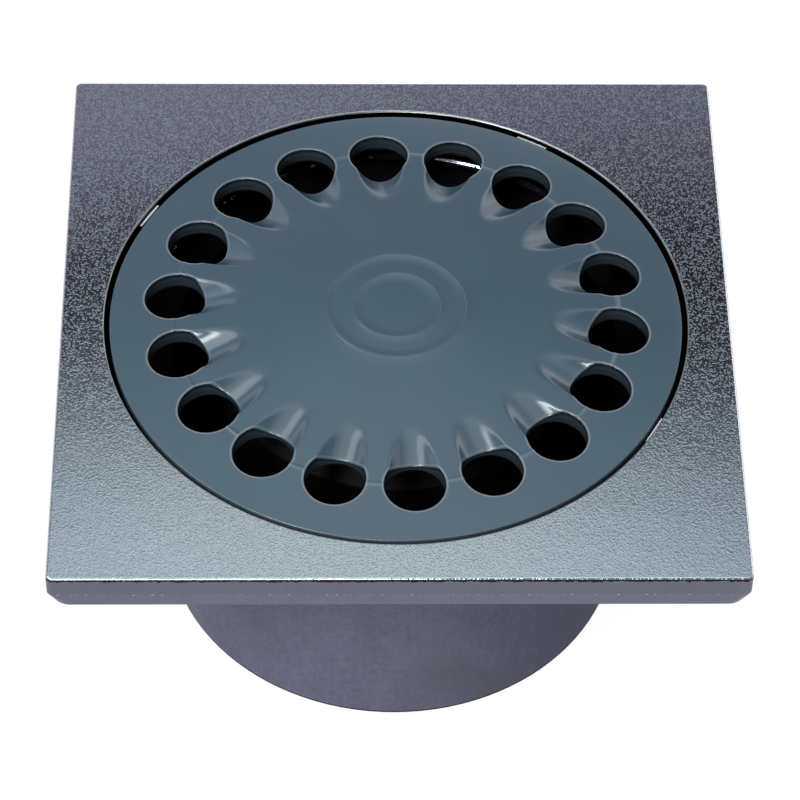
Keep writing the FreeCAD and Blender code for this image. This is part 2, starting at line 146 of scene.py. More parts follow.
# Patterns of the finishes, in waves to the metre
EDGE_LINE_WAVES = 1100.0
PARTING_WAVES = 1000.0
STEP_LINE_WAVES = 420.0
GRAIN_WAVES = 1800.0
GRAIN_STRETCH = (1.25, 1.0, 1.0)
GRAIN_DETAIL = 1.5
PLATE_WAVES = 130.0
LINE_WAVES = (2600.0, 2600.0, 70.0)
CLOUD_WAVES = 140.0
OUTLET_WAVES = 90.0
SPECKLE_WAVES = 800.0
STAIN_WAVES = 55.0
SLATE_WAVES = 90.0
PALE_LINE_WAVES = 500.0
GLOSS_WAVES = 400.0
RIPPLE_WAVES = 500.0
BELL_WAVES = 120.0
BELL_GRAIN_WAVES = 1200.0
BELL_GLOSS_WAVES = 300.0

# Noise levels between which a pattern comes up, and the strengths that a noise is carried to
PARTING_LEVELS = (0.54, 0.64)
STEP_LINE_LEVELS = (0.56, 0.64)
STEP_LINE_LIFT = 0.25
GRAIN_LEVELS = (0.3, 0.58)
SPECK_LEVELS = (0.54, 0.66)
STAIN_LEVELS = (0.52, 0.72)
STAIN_STRENGTH = 0.45
LIP_PATCHES = (0.4, 1.2)
PALE_LINE_PATCHES = (0.5, 1.1)

# Depths of the bumps, in millimetres
LINES_DEPTH = 0.006
WAVES_DEPTH = 0.01
GRAIN_DEPTH = 0.009
SPECKS_DEPTH = 0.01
RIPPLE_DEPTH = 0.0015
BELL_GRAIN_DEPTH = 0.01

# Roughness of the finishes, as one value or as a range
SATIN_ROUGHNESS = 0.42
DULL_ROUGHNESS = 0.55
CHROME_ROUGHNESS = 0.07
LIP_ROUGHNESS = 0.3
SLATE_ROUGHNESS = (0.18, 0.24)
BELL_ROUGHNESS = (0.55, 0.7)

# Colours of the casting's finishes, as linear red, green and blue
SATIN_DARK = (0.121, 0.125, 0.171, 1)
SATIN_PALE = (0.168, 0.173, 0.231, 1)
EDGE_LINE_PAINTED_SHADE = (0.012, 0.012, 0.018, 1)
PARTING_BRIGHT = (0.40, 0.40, 0.45, 1)
DULL_DARK = (0.092, 0.094, 0.130, 1)
DULL_PALE = (0.258, 0.262, 0.353, 1)
STAIN_GREY = (0.152, 0.154, 0.178, 1)
FOOT_BLACK = (0.035, 0.036, 0.048, 1)
CHROME_DARK = (0.45, 0.47, 0.49, 1)
CHROME_PALE = (0.68, 0.69, 0.71, 1)
LIP_BROWN = (0.2, 0.19, 0.18, 1)
RECESS_PAINTED_SHADE = (0.003, 0.003, 0.004, 1)
PAD_PAINTED_GLINT = (0.72, 0.71, 0.70, 1)

# Colours of the mouldings
SLATE_DARK = (0.049, 0.082, 0.107, 1)
SLATE_PALE = (0.056, 0.093, 0.121, 1)
HOLE_PAINTED_SHADE = (0.007, 0.008, 0.009, 1)
WORN_AND_LIT_SLATE = (0.25, 0.26, 0.265, 1)
# Near-black bell: its own black, darkened further as painted shade
BELL_DARK = (0.004, 0.004, 0.005, 1)
BELL_PALE = (0.007, 0.007, 0.008, 1)

# Light of the room and the floor, and the tints of the lamps
WALL_LEFT = (0.262, 0.266, 0.352, 1)
WALL_RIGHT = (0.188, 0.193, 0.255, 1)
PANEL_MIDDLE = (0.72, 0.86, 0.91, 1)
PANEL_SIDES = (0.50, 0.61, 0.72, 1)
GAP_DARK = (0.02, 0.02, 0.026, 1)
CEILING = (0.86, 0.92, 0.95, 1)
ZENITH = (1.04, 1.12, 1.15, 1)
FRONT_DARK = (0.15, 0.15, 0.18, 1)
FLOOR_GREY = (0.12, 0.12, 0.12, 1)
FLOOR_GLOW = 0.93
LAMP_TINT = (0.97, 1.0, 1.0)
OVERHEAD_TINT = (0.95, 0.99, 1.0)

# Edges in the room's light, in degrees above the horizon, and how far two of them tilt
WALL_EDGE = (44.9, 46.1)
WALL_EDGE_TILT = 4.5
PANEL_EDGE = (47.7, 51.2)
PANEL_EDGE_TILT = 2.0
CEILING_EDGE = (54.0, 76.0)
ZENITH_EDGE = (66.0, 82.0)
FRONT_EDGE = (42.0, 62.0)

# Changes in the room's light from left to right and from front to back, as parts of a unit vector
WALL_CHANGE = (-0.06, 0.12)
PANEL_CENTRE = 0.005
PANEL_CHANGE = (0.02, 0.14)
FRONT_CHANGE = (-0.7, -0.3)

# Camera, fitted to the photograph's outline of the plate
CAMERA_ELEVATION = math.radians(48.91)
CAMERA_AZIMUTH = math.radians(-1.63)
CAMERA_ROLL = math.radians(1.206)
CAMERA_DISTANCE = 831.6
CAMERA_TARGET = (0.57, -24.82, PLATE_TOP)
CAMERA_LENS = 170.11
CAMERA_SENSOR = 36.0


def sphere_cap(radius, crown, rim_radius, rim_height):
    """Height of a sphere that passes through the crown on the axis and through the rim circle."""
    drop = crown - rim_height
    ball = (rim_radius ** 2 + drop ** 2) / (2 * drop)
    return crown - ball + np.sqrt(ball ** 2 - radius ** 2)


def softer_lower(first, second, softness):
    """The lower of two heights, with the crease between them rounded over the given softness."""
    share = np.clip(0.5 + 0.5 * (second - first) / softness, 0, 1)
    return second * (1 - share) + first * share - softness * share * (1 - share)


def dome_height(radius):
    """Top of the grid: a sphere from the crown down to the rounded edge."""
    return sphere_cap(radius, GRID_CROWN, GRID_RADIUS - GRID_EDGE_ROUND, GRID_SEAT + GRID_EDGE)


def flute_height(along, across):
    """Floor of a flute: a round groove whose bottom line slopes down outwards to the hole's sill.

    The groove rises by its radius less the chord's height, and it ends at the hole's axis. Past its sides
    the height climbs steeply, so that the dome is the lower of the two there.
    """
    chord = np.sqrt(np.clip(FLUTE_RADIUS ** 2 - across ** 2, 0, None))
    rise = FLUTE_RADIUS - chord + FLUTE_OUTSIDE_CLIMB * np.clip(np.abs(across) - FLUTE_RADIUS, 0, None)
    floor = FLUTE_SILL - (along - HOLE_PITCH + HOLE_RADIUS) * math.tan(FLUTE_SLOPE)
    return np.where(along > HOLE_PITCH, GRID_CROWN * 2, floor + rise / math.cos(FLUTE_SLOPE))


def medallion_height(radius):
    """Two thin raised rings, each a cosine hump across its width."""
    height = np.zeros_like(radius)
    for ring in MEDALLION_RINGS:
        offset = np.clip((radius - ring - MEDALLION_WIDTH / 2) / MEDALLION_WIDTH, -1, 1)
        height = height + MEDALLION_HEIGHT * (0.5 + 0.5 * np.cos(math.pi * offset))
    return height


def rounding_drop(distance, radius):
    """How far a quarter-round edge lies below its face at a distance from the wall."""
    inside = np.clip(radius - distance, 0, radius)
    return radius - np.sqrt(radius ** 2 - inside ** 2)


def top_height(along, across, from_wall):
    """Top of one hole's share: the lower of dome and flute, with a faint bead and the hole's round rim."""
    radius = np.hypot(along, across)
    face = softer_lower(dome_height(radius), flute_height(along, across), FLUTE_EDGE_SOFTNESS)
    bead = BEAD_HEIGHT * np.exp(-((radius - HOLE_PITCH) / BEAD_WIDTH) ** 2)
    return face + bead - rounding_drop(from_wall, HOLE_ROUND)


def bead_highlight(x, y):
    """Painted highlight on the beads, a cosine of the turn: most at the front right, and none at the back
    left.
    """
    turn = np.arctan2(y, x)
    return BEAD_HIGHLIGHT * np.clip(BEAD_HIGHLIGHT_MEAN + BEAD_HIGHLIGHT_SWING * np.cos(turn - BEAD_HIGHLIGHT_TURN), 0, 1)


def underside_height(radius):
    """Hollow underside of the grid: a shallow sphere."""
    return sphere_cap(np.minimum(radius, SEAT_INNER), UNDERSIDE_CROWN, SEAT_INNER, UNDERSIDE_RIM)


def between(first, second, count):
    """Rows of equal steps from one curve to another, without the first curve itself."""
    share = np.linspace(0, 1, count + 1)[1:, None]
    return first * (1 - share) + second * share


class HoleShare:
    """The share of the disc round one hole, on rays from the hole's axis to the share's outline.

    The outline is two rays from the disc's axis, half a step to each side, and two arcs about that axis.
    Each row of points also has its edge wear and painted highlight, from 0 to 1, its painted hole shade,
    1 on the hole's wall, and its bead share, 1 on the crest of the bead.
    """

    OUTER_STEPS = 26
    SEAT_STEPS = 5
    SHOULDER_STEPS = 9
    BEAD_STEPS = 12
    SIDE_STEPS = 20
    INNER_STEPS = 10
    BEAD_TURN = math.radians(94.5)
    BEAD_REACH = math.radians(8.0)
    RIM_BEND = math.radians(89.99)
    RIM_ROWS = 6
    FLOOR_ROWS = 7
    CREASE_ROWS = 6
    REST_ROWS = 5
    SHEET_ROWS = 3
    FOOT_ROWS = 4
    HALVINGS = 40
    SLACK = 1e-9

    def __init__(self):
        self.half_step = math.pi / HOLE_COUNT
        self.outer_radius = GRID_RADIUS - GRID_EDGE_ROUND
        outer = self.corner_angle(self.outer_radius)
        seat = self.corner_angle(SEAT_INNER)
        inner = self.corner_angle(CENTRE_RADIUS)
        full = 2 * math.pi
        above = self.BEAD_TURN - self.BEAD_REACH
        below = self.BEAD_TURN + self.BEAD_REACH
        one_side = (outer, seat, above, below, inner)
        side_steps = (self.SEAT_STEPS, self.SHOULDER_STEPS, self.BEAD_STEPS, self.SIDE_STEPS)
        corners = (-outer, *one_side, *(full - corner for corner in one_side[::-1]))
        steps = (self.OUTER_STEPS, *side_steps, self.INNER_STEPS, *side_steps[::-1])
        runs = [np.linspace(corners[i], corners[i + 1], n, endpoint=False) for i, n in enumerate(steps)]
        self.angle = np.concatenate(runs)
        self.turned = np.abs((self.angle + math.pi) % full - math.pi)
        self.at_outer = self.turned <= outer + self.SLACK
        self.at_inner = self.turned >= inner - self.SLACK
        self.past_seat = self.turned <= seat + self.SLACK
        self.reach = np.where(self.at_outer, self.to_circle(self.outer_radius, 1), self.to_side())
        self.reach = np.where(self.at_inner, self.to_circle(CENTRE_RADIUS, -1), self.reach)
        self.seat_reach = np.where(self.past_seat, self.to_circle(SEAT_INNER, 1), self.reach)

    def corner_angle(self, radius):
        """Direction, seen from the hole's axis, of the outline's point at that radius on the side ray."""
        along = radius * math.cos(self.half_step) - HOLE_PITCH
        return math.atan2(radius * math.sin(self.half_step), along)

    def to_circle(self, radius, sign):
        """Distance from the hole's axis to a circle about the disc's axis, at its far or near crossing."""
        under = np.clip(radius ** 2 - (HOLE_PITCH * np.sin(self.angle)) ** 2, 0, None)
        return -HOLE_PITCH * np.cos(self.angle) + sign * np.sqrt(under)

    def to_side(self):
        """Distance from the hole's axis to the side ray, by the sine rule."""
        opening = np.clip(np.sin(self.turned - self.half_step), 0.05, None)
        return HOLE_PITCH * math.sin(self.half_step) / opening

    def spot(self, distance):
        """Place along and across the flute at a distance from the hole's axis."""
        return HOLE_PITCH + distance * np.cos(self.angle), distance * np.sin(self.angle)

    def flute_edge(self):
        """Distance at which each ray climbs out of the flute onto the dome, by halving the interval."""
        low = np.full_like(self.angle, HOLE_RADIUS)
        high = self.reach.copy()
        for _ in range(self.HALVINGS):
            middle = (low + high) / 2
            along, across = self.spot(middle)
            inside = flute_height(along, across) < dome_height(np.hypot(along, across))
            low = np.where(inside, middle, low)
            high = np.where(inside, high, middle)
        return low

    def top_rows(self):
        """Rings round the hole, from its rounded rim over the flute's edge to the outline."""
        bend = np.linspace(0, 1, self.RIM_ROWS)[:, None] * self.RIM_BEND
        level = np.zeros_like(self.angle)
        rim = HOLE_RADIUS + HOLE_ROUND * (1 - np.cos(bend)) + level
        ring = between(rim[-1], rim[-1] + RIM_LINE_WIDTH, len(RIM_LINE_FADE))
        edge = np.maximum(self.flute_edge(), ring[-1] + FLUTE_EDGE_BAND + FLUTE_EDGE_ROOM)
        floor = between(ring[-1], edge - FLUTE_EDGE_BAND, self.FLOOR_ROWS)
        crease = between(floor[-1], edge + FLUTE_EDGE_BAND, self.CREASE_ROWS)
        rest = between(crease[-1], self.reach, self.REST_ROWS)
        distance = np.concatenate([rim, ring, floor, crease, rest])
        along, across = self.spot(distance)
        height = top_height(along, across, distance - HOLE_RADIUS)
        bead = np.exp(-((np.hypot(along, across) - HOLE_PITCH) / BEAD_WIDTH) ** 2)
        # The pale rim line is mostly painted highlight and partly wear; it fades towards the flute's sill
        at_sill = np.clip((self.turned - SILL_TURN) / SILL_BLEND, 0, 1)
        round_hole = RIM_WEAR_AND_HIGHLIGHT * (1 - (1 - SILL_RIM_LINE) * at_sill)
        over_rim = np.concatenate([np.sin(bend) ** 6, RIM_LINE_FADE])
        wear_and_highlight = np.zeros_like(distance)
        wear_and_highlight[:len(over_rim)] = over_rim * round_hole
        # Painted shade: a dark band over the rim's lower bend, down into the hole
        shade = np.zeros_like(distance)
        shade[:len(rim)] = np.cos(bend) ** 8
        return along, across, height, wear_and_highlight, shade, bead

    def underside_rows(self):
        """Rings under the disc, from the outline and the seat's step in to the hole's lower edge."""
        bend = np.linspace(math.pi / 2, 0, self.FOOT_ROWS)[:, None]
        foot = HOLE_RADIUS + HOLE_FOOT_ROUND * (1 - np.cos(bend)) + np.zeros_like(self.angle)
        sheet = between(self.seat_reach, foot[0], self.SHEET_ROWS)[:-1]
        distance = np.concatenate([self.seat_reach[None], sheet, foot])
        along, across = self.spot(distance)
        lift = rounding_drop(distance - HOLE_RADIUS, HOLE_FOOT_ROUND)
        height = underside_height(np.hypot(along, across)) + lift
        step = np.stack([self.reach, self.seat_reach])
        step_along, step_across = self.spot(step)
        step_height = np.where(self.past_seat, GRID_SEAT, height[0]) + np.zeros_like(step)
        along = np.concatenate([step_along, along])
        across = np.concatenate([step_across, across])
        height = np.concatenate([step_height, height])
        none = np.zeros_like(height)
        shade = none.copy()
        shade[-len(bend):] = np.cos(bend)
        return along, across, height, none, shade, none

    def all_rows(self):
        """Skin of the share: from the outline in over the top, down the hole's wall and out below."""
        top = self.top_rows()
        under = self.underside_rows()
        wall = []
        for above, below in zip(top[:3], under[:3]):
            wall.append(above[0] * (1 - WALL_SHARE) + below[-1] * WALL_SHARE)
        level = np.zeros_like(self.angle)
        wall += [WALL_HIGHLIGHT + level, WALL_SHADE + level, WALL_HIGHLIGHT * 0 + level]
        skin = []
        for above, middle, below in zip(top, wall, under):
            skin.append(np.concatenate([above[::-1], middle, below[::-1]]))
        return skin

    def arc(self, mask):
        """Angles about the disc's axis of the outline's points on one of its two arcs, in rising order."""
        along, across = self.spot(self.reach)
        turn = np.arctan2(across, along)[mask]
        return np.sort(turn)


def ring_faces(rows, columns):
    """Quads of a grid of points whose last column is joined to the first."""
    row, column = np.meshgrid(np.arange(rows - 1), np.arange(columns), indexing="ij")
    here = row * columns + column
    beside = row * columns + (column + 1) % columns
    return np.stack([here, beside, beside + columns, here + columns], axis=-1).reshape(-1, 4)


def turned_surface(radius, height, turns, wear_and_highlight=0.0):
    """A profile of radius and height carried round the axis through the given angles, with its wear and
    painted highlight.
    """
    level = np.zeros_like(turns)
    x = radius[:, None] * np.cos(turns)
    y = radius[:, None] * np.sin(turns)
    z = height[:, None] + level
    worn_and_lit = (np.zeros_like(radius) + wear_and_highlight)[:, None] + level
    return np.stack([x, y, z, worn_and_lit, worn_and_lit * 0], axis=-1)


def mesh_piece(name, sheets, finish):
    """One object from several grids of points in millimetres, welded where they meet and smooth all over.

    Each point has its place, its edge wear with painted highlight, and its painted hole shade; the last two
    become attributes.
    """
    points = []
    faces = []
    start = 0
    for sheet in sheets:
        rows, columns = sheet.shape[:2]
        points.append(sheet.reshape(-1, 5))
        faces.append(ring_faces(rows, columns) + start)
        start += rows * columns
    points = np.concatenate(points)
    faces = np.concatenate(faces)
    steps = np.round(points[:, :3] / WELD_STEP).astype(np.int64)
    places, index = np.unique(steps, axis=0, return_inverse=True)
    index = index.ravel()
    keep = np.zeros(len(places), dtype=np.int64)
    keep[index] = np.arange(len(points))
    faces = index[faces]
    points = points[keep]
    mesh = bpy.data.meshes.new(name)
    mesh.from_pydata(points[:, :3] * MM, [], clean_faces(faces))
    for column, attribute in ((3, "edge_wear_and_highlight"), (4, "hole_shade")):
        mesh.attributes.new(attribute, "FLOAT", "POINT").data.foreach_set("value", points[:, column])
    mesh.validate()
    mesh.polygons.foreach_set("use_smooth", np.ones(len(mesh.polygons), dtype=bool))
    mesh.materials.append(finish)
    mesh.update()
    piece = bpy.data.objects.new(name, mesh)
    bpy.context.collection.objects.link(piece)
    return piece


def clean_faces(faces):
    """Quads without their repeated corners: a quad that closed to a point or a line is left out.

    Where two shares meet at the foot of the seat's step, both close it with the same triangle, one from
    each side. Such a pair would stand as a fin inside the joined surface, so both are left out.
    """
    same_as_next = faces == np.roll(faces, -1, axis=1)
    whole = faces[~same_as_next.any(axis=1)]
    whole = whole[(whole[:, 0] != whole[:, 2]) & (whole[:, 1] != whole[:, 3])]
    pinched = faces[same_as_next.sum(axis=1) == 1]
    pinched_same = same_as_next[same_as_next.sum(axis=1) == 1]
    corners = pinched[~pinched_same].reshape(-1, 3)
    ordered = np.sort(corners, axis=1)
    _, same, times = np.unique(ordered, axis=0, return_inverse=True, return_counts=True)
    corners = corners[times[same.ravel()] == 1]
    return whole.tolist() + corners.tolist()


def grid_moulding(finish):
    """The grid: eighteen hole shares, the plain centre above and below, and the rounded rim."""
    share = HoleShare()
    along, across, height, wear_and_highlight, shade, bead = share.all_rows()
    step = 2 * share.half_step
    turns = math.radians(HOLE_FIRST) + step * np.arange(HOLE_COUNT)
    sheets = []
    for turn in turns:
        x = along * math.cos(turn) - across * math.sin(turn)
        y = along * math.sin(turn) + across * math.cos(turn)
        # The beads get a painted highlight that depends on their turn about the disc's axis
        worn_and_lit = np.maximum(wear_and_highlight, bead * bead_highlight(x, y))
        sheets.append(np.stack([x, y, height, worn_and_lit, shade], axis=-1))

    inner_turns = (turns[:, None] + share.arc(share.at_inner)[:-1]).ravel()
    outer_turns = (turns[:, None] + share.arc(share.at_outer)[:-1]).ravel()
    ring_rows = np.linspace(-MEDALLION_WIDTH, MEDALLION_WIDTH, MEDALLION_ROWS)[::-1]
    inner_ring, outer_ring = (ring + MEDALLION_WIDTH / 2 + ring_rows for ring in MEDALLION_RINGS)
    rows = (ROWS_OUTSIDE_RINGS, outer_ring, ROWS_BETWEEN_RINGS, inner_ring, ROWS_INSIDE_RINGS)
    radius = np.concatenate(rows)
    sheets.append(turned_surface(radius, dome_height(radius) + medallion_height(radius), inner_turns))
    radius = np.array(UNDERSIDE_ROWS)
    sheets.append(turned_surface(radius, underside_height(radius), inner_turns))

    bend = np.linspace(0, math.pi / 2, 5)
    foot_out = GRID_RADIUS - GRID_FOOT_ROUND + GRID_FOOT_ROUND * np.cos(bend)
    foot_up = GRID_SEAT + GRID_FOOT_ROUND - GRID_FOOT_ROUND * np.sin(bend)
    edge_out = share.outer_radius + GRID_EDGE_ROUND * np.sin(bend)
    edge_up = GRID_SEAT + GRID_EDGE - GRID_EDGE_ROUND + GRID_EDGE_ROUND * np.cos(bend)
    radius = np.concatenate([[share.outer_radius], foot_out[::-1], edge_out[::-1]])
    level = np.concatenate([[GRID_SEAT], foot_up[::-1], edge_up[::-1]])
    # The disc's rounded outer edge gets painted light
    worn_and_lit = np.concatenate([[0], foot_out * 0, GRID_EDGE_PAINTED_LIGHT * np.sin(bend[::-1])])
    sheets.append(turned_surface(radius, level, outer_turns, worn_and_lit))

    piece = mesh_piece("grid_moulding", sheets, finish)
    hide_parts("grid")
    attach(piece, "root")


class Finish:
    """A node tree under construction, with one short call for each kind of node that it needs."""

    def __init__(self, tree):
        self.tree = tree
        tree.nodes.clear()

    def node(self, kind, inputs=None, **options):
        """Adds a node, sets its options, and fills or connects its inputs."""
        made = self.tree.nodes.new(kind)
        for name, value in options.items():
            setattr(made, name, value)
        for name, value in (inputs or {}).items():
            if isinstance(value, bpy.types.NodeSocket):
                self.tree.links.new(value, made.inputs[name])
            else:
                made.inputs[name].default_value = value
        return made

    def math(self, operation, *values):
        """One arithmetic step."""
        return self.node("ShaderNodeMath", dict(enumerate(values)), operation=operation).outputs[0]

    def times(self, *values):
        """The product of several values."""
        product = values[0]
        for value in values[1:]:
            product = self.math("MULTIPLY", product, value)
        return product

    def rise(self, value, start, end):
        """0 below start and 1 above end, with a smooth rise between."""
        inputs = {"Value": value, "From Min": start, "From Max": end}
        return self.node("ShaderNodeMapRange", inputs, interpolation_type="SMOOTHSTEP").outputs["Result"]

    def fall(self, value, start, end):
        """1 below start and 0 above end, with a smooth fall between."""
        return self.math("SUBTRACT", 1.0, self.rise(value, start, end))

    def scale(self, value, low, high):
        """A value from 0 to 1 carried to the range from low to high."""
        inputs = {"Value": value, "To Min": low, "To Max": high}
        return self.node("ShaderNodeMapRange", inputs).outputs["Result"]

    def number(self, share, first, second):
        """A number that goes from the first to the second as the share goes from 0 to 1."""
        return self.node("ShaderNodeMix", {0: share, 2: first, 3: second}, data_type="FLOAT").outputs[0]

    def colour(self, share, first, second):
        """A colour that goes from the first to the second as the share goes from 0 to 1."""
        return self.node("ShaderNodeMix", {0: share, 6: first, 7: second}, data_type="RGBA").outputs[2]

    def noise(self, place, scale, detail=2.0):
        """Noise from about 0 to 1, with the given number of waves to the metre."""
        inputs = {"Vector": place, "Scale": scale, "Detail": detail, "Roughness": 0.5}
        return self.node("ShaderNodeTexNoise", inputs).outputs[0]

    def mark(self, name):
        """A number that the mesh carries at each point."""
        return self.node("ShaderNodeAttribute", attribute_name=name).outputs["Fac"]

    def stretched(self, place, scale):
        """A place scaled along each axis, so that a pattern on it is drawn out."""
        return self.node("ShaderNodeMapping", {"Vector": place, "Scale": scale}).outputs[0]

    def bump(self, height, depth, before=None):
        """A normal bent by a height from 0 to 1 that stands for the given depth in metres."""
        inputs = {"Height": height, "Distance": depth}
        if before is not None:
            inputs["Normal"] = before
        return self.node("ShaderNodeBump", inputs).outputs[0]

    def object_place(self):
        """The point in the part frame, and its three coordinates."""
        place = self.node("ShaderNodeTexCoord").outputs["Object"]
        split = self.node("ShaderNodeSeparateXYZ", {0: place})
        return place, split.outputs[0], split.outputs[1], split.outputs[2]

    def surface(self, **inputs):
        """The finished shader."""
        named = {name.replace("_", " "): value for name, value in inputs.items()}
        shader = self.node("ShaderNodeBsdfPrincipled", named)
        self.node("ShaderNodeOutputMaterial", {"Surface": shader.outputs[0]})


def new_finish(name):
    """A material with an empty node tree."""
    material = bpy.data.materials.new(name)
    material.use_nodes = True
    return material, Finish(material.node_tree)


class CastingZones:
    """Where each finish of the casting lies, as shares from 0 to 1 worked out from the place."""

    def __init__(self, look):
        self.look = look
        self.place, self.x, self.y, self.height = look.object_place()
        flat = look.node("ShaderNodeCombineXYZ", {0: self.x, 1: self.y})
        length = look.node("ShaderNodeVectorMath", {0: flat.outputs[0]}, operation="LENGTH")
        self.radius = length.outputs["Value"]

    def above(self, level, blend=SOFT_BLEND):
        """1 above a height."""
        return self.look.rise(self.height, (level - blend) * MM, (level + blend) * MM)

    def below(self, level, blend=SOFT_BLEND):
        """1 below a height."""
        return self.look.fall(self.height, (level - blend) * MM, (level + blend) * MM)

    def within(self, size, blend=SOFT_BLEND):
        """1 inside a radius."""
        return self.look.fall(self.radius, (size - blend) * MM, (size + blend) * MM)

    def outside(self, size, blend=SOFT_BLEND):
        """1 outside a radius."""
        return self.look.rise(self.radius, (size - blend) * MM, (size + blend) * MM)

    def towards(self, turn, whole, end):
        """1 up to an angle to each side of a direction about the axis, and 0 from a wider angle on."""
        look = self.look
        along = look.math("ADD", look.times(self.x, math.cos(turn)), look.times(self.y, math.sin(turn)))
        return look.rise(look.math("DIVIDE", along, self.radius), math.cos(end), math.cos(whole))

    def plate_face(self):
        """The plate's top with the upper part of its rounded edge and the recess's lip."""
        return self.above(EDGE_LINE_TOP, SHARP_BLEND)

    def wet_side(self):
        """The recess, the step, the funnel and the bowl."""
        look = self.look
        recess = look.times(self.above(FUNNEL_FOOT - 0.2), self.within(RECESS_RADIUS + 0.2),
                            self.below(EDGE_LINE_TOP, SHARP_BLEND))
        bowl = look.times(self.within(BOWL_RADIUS + 1.4), self.above(TRAP_FLOOR - 1.6))
        return look.math("MAXIMUM", recess, bowl)

    def pad_tops(self):
        """The tops of the centring pads."""
        return self.look.times(self.outside(RECESS_RADIUS - PAD_THICKNESS - 0.1, SHARP_BLEND),
                               self.within(RECESS_RADIUS - 0.15, SHARP_BLEND), self.above(PAD_TOP - 0.2))

    def step(self):
        """The bright line that is left on the bevel at the step's foot."""
        return self.look.times(self.outside(STEP_LINE_INNER, STEP_BLEND),
                               self.within(STEP_LINE_OUTER, STEP_BLEND),
                               self.above(STEP_FOOT + 0.05, SHARP_BLEND),
                               self.below(GRID_SEAT - 0.15, SHARP_BLEND))

    def outlet(self):
        """The outside of the outlet below the funnel."""
        return self.look.times(self.within(OUTLET_RADIUS + 0.4, 0.2), self.below(OUTLET_TOP, 0.5))

    def painted_edge_shade(self):
        """The ragged dark line of painted shade that starts on the plate's rounded edge and hangs down its
        sides.
        """
        ragged = self.look.scale(self.look.noise(self.place, EDGE_LINE_WAVES), 0.0, EDGE_LINE_DEPTH)
        depth = self.look.math("SUBTRACT", EDGE_LINE_TOP * MM, self.height)
        return self.look.times(self.look.math("LESS_THAN", depth, self.look.times(ragged, MM)),
                               self.below(EDGE_LINE_TOP, SHARP_BLEND))

    def parting_marks(self):
        """Short bright marks along the mould's parting line."""
        above = self.above(PARTING_LINE - PARTING_HALF, PARTING_BLEND)
        below = self.below(PARTING_LINE + PARTING_HALF, PARTING_BLEND)
        marked = self.look.rise(self.look.noise(self.place, PARTING_WAVES), *PARTING_LEVELS)
        return self.look.times(above, below, marked)


def chromed_casting():
    """Grained chrome on the plate's top, painted shade in the recess and bowl, satin on the sides and dull
    on the outlet.
    """
    material, look = new_finish("chromed_casting")
    zones = CastingZones(look)
    place = zones.place
    face = zones.plate_face()
    wet = zones.wet_side()
    whole = zones.towards(STEP_LINE_TURN, STEP_LINE_WHOLE, STEP_LINE_END)
    plated = look.math("ADD", look.noise(place, STEP_LINE_WAVES), look.times(whole, STEP_LINE_LIFT))
    step = look.times(zones.step(), look.rise(plated, *STEP_LINE_LEVELS))
    outlet = zones.outlet()
    is_chrome = look.math("MAXIMUM", face, step)
    pads = zones.pad_tops()

    grain = look.noise(look.stretched(place, GRAIN_STRETCH), GRAIN_WAVES, GRAIN_DETAIL)
    specks = look.rise(grain, *SPECK_LEVELS)
    waves = look.noise(place, PLATE_WAVES)
    lines = look.noise(look.stretched(place, LINE_WAVES), 1.0, 1.0)
    cloud = look.noise(place, CLOUD_WAVES)

    satin = look.colour(look.number(0.5, cloud, lines), SATIN_DARK, SATIN_PALE)
    # Painted shade: a ragged dark line under the plate's rounded edge
    satin = look.colour(zones.painted_edge_shade(), satin, EDGE_LINE_PAINTED_SHADE)
    satin = look.colour(zones.parting_marks(), satin, PARTING_BRIGHT)
    dull_tone = look.number(0.4, look.noise(place, OUTLET_WAVES), lines)
    dull_tone = look.number(0.5, dull_tone, look.noise(place, SPECKLE_WAVES))
    dull = look.colour(dull_tone, DULL_DARK, DULL_PALE)
    stains = look.rise(look.noise(place, STAIN_WAVES), *STAIN_LEVELS)
    dull = look.colour(look.times(stains, STAIN_STRENGTH), dull, STAIN_GREY)
    dull = look.colour(zones.below(OUTLET_FOOT_LINE, 0.2), dull, FOOT_BLACK)
    chrome = look.colour(look.rise(grain, *GRAIN_LEVELS), CHROME_DARK, CHROME_PALE)
    lip = look.times(face, zones.within(LIP_RADIUS))
    chrome = look.colour(look.times(lip, look.scale(cloud, *LIP_PATCHES)), chrome, LIP_BROWN)
    base = look.colour(outlet, satin, dull)
    # Painted shade: the recess, step, funnel and bowl are near black
    base = look.colour(wet, base, RECESS_PAINTED_SHADE)
    base = look.colour(is_chrome, base, chrome)
    # Painted glint: the pads' tops are pale and not metal, standing for their bright reflection
    base = look.colour(pads, base, PAD_PAINTED_GLINT)

    roughness = look.number(outlet, SATIN_ROUGHNESS, DULL_ROUGHNESS)
    roughness = look.number(is_chrome, roughness, look.number(lip, CHROME_ROUGHNESS, LIP_ROUGHNESS))
    metal = look.number(look.math("MAXIMUM", outlet, pads), 1.0, 0.0)

    grained = look.times(face, look.rise(zones.radius, GRAIN_START * MM, GRAIN_FULL * MM))
    lined = look.math("SUBTRACT", 1.0, is_chrome)
    normal = look.bump(look.times(lines, lined), LINES_DEPTH * MM)
    normal = look.bump(look.times(waves, grained), WAVES_DEPTH * MM, normal)
    normal = look.bump(look.times(grain, grained), GRAIN_DEPTH * MM, normal)
    normal = look.bump(look.times(specks, grained), SPECKS_DEPTH * MM, normal)
    look.surface(Base_Color=base, Metallic=metal, Roughness=roughness,
                 Specular_IOR_Level=0.03, Normal=normal)
    return material


